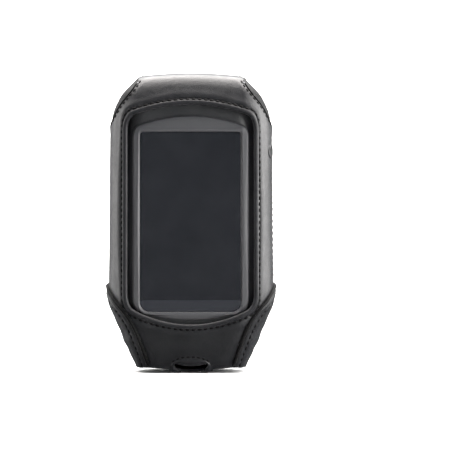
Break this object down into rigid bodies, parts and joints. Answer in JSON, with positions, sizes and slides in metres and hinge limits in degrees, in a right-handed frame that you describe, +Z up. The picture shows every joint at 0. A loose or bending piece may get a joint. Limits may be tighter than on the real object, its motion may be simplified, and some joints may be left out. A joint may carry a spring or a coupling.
{
  "type": "cased handheld satellite navigator",
  "caption": "Handheld touchscreen satellite navigator in a fitted black leather case with an open screen window, a top closing flap, stitched lower wings and a swivelling belt clip.",
  "frame": {"origin": "middle of the flat base the case stands on", "axes": "+Z up the length of the case, the screen faces -Y, the belt clip is on +Y, +X is to the right when facing the screen"},
  "size_m": [0.092, 0.0621, 0.16],
  "materials": {
    "leather": "black grained leather, lightly waxed",
    "piping": "rolled and stitched leather edge",
    "lining": "soft brushed padding",
    "hook_and_loop": "hook and loop tape",
    "clip_plastic": "fine moulded grain",
    "steel": "plain bright steel",
    "housing_plastic": "satin moulded plastic",
    "trim_plastic": "satin grey plastic with a fine texture",
    "front_glass": "smooth dark glass over an unlit display",
    "seal_rubber": "soft moulded rubber",
    "display": "unlit display face",
    "carrier_alloy": "stamped alloy sheet",
    "board": "green solder mask",
    "antenna_ceramic": "ceramic with a silvered patch",
    "contact_gold": "plated spring contacts",
    "dark_plastic": "plain dark plastic"
  },
  "bodies": {
    "case": {"front_leather_panel": "leather", "back_leather_panel": "leather", "left_shoulder_leather": "leather", "right_shoulder_leather": "leather", "left_lower_wing": "leather", "right_lower_wing": "leather", "base_leather": "leather", "slot_hem": "leather", "window_binding": "leather", "left_wing_piping": "piping", "right_wing_piping": "piping", "case_lining": "lining", "back_loop_patch": "hook_and_loop", "clip_swivel_stud": "clip_plastic", "clip_backing_plate": "steel", "shield_cans": "steel", "port_socket": "steel", "card_holder": "steel", "housing_screws": "steel", "latch_ring": "steel", "door_latch": "steel", "front_housing": "housing_plastic", "rear_housing": "housing_plastic", "battery_door": "housing_plastic", "bezel_trim": "trim_plastic", "front_glass": "front_glass", "glass_seal": "seal_rubber", "housing_seal": "seal_rubber", "port_cap": "seal_rubber", "display_module": "display", "display_carrier": "carrier_alloy", "main_board": "board", "key_card": "board", "antenna_patch": "antenna_ceramic", "battery_contacts": "contact_gold", "memory_card": "dark_plastic", "beeper": "dark_plastic", "battery_pack": "dark_plastic", "key_switch": "dark_plastic"},
    "flap": {"top_flap": "leather", "flap_hook_patch": "hook_and_loop"},
    "belt_clip": {"clip_plate": "clip_plastic", "clip_hinge_pin": "steel", "clip_spring": "steel"},
    "clip_jaw_body": {"clip_jaw": "clip_plastic"},
    "power_key_body": {"power_key": "seal_rubber"}
  },
  "joints": [
    {"name": "flap_hinge", "type": "hinge", "parent": "case", "child": "flap", "pos_m": [0, -0.011, 0.1591], "axis": [1, 0, 0], "range_deg": [0, 170]},
    {"name": "clip_swivel", "type": "hinge", "parent": "case", "child": "belt_clip", "pos_m": [0, 0.0285, 0.08842], "axis": [0, 1, 0], "continuous": true},
    {"name": "jaw_hinge", "type": "hinge", "parent": "belt_clip", "child": "clip_jaw_body", "pos_m": [0, 0.0359, 0.10042], "axis": [1, 0, 0], "range_deg": [0, 18], "stiffness_Nm_per_rad": 0.9, "springref_deg": -11.46, "deforming": ["clip_spring"]},
    {"name": "power_key_press", "type": "slide", "parent": "case", "child": "power_key_body", "axis": [-1, 0, 0], "range_m": [0, 0.0005], "stiffness_N_per_m": 1500, "springref_m": -0.0005}
  ]
}
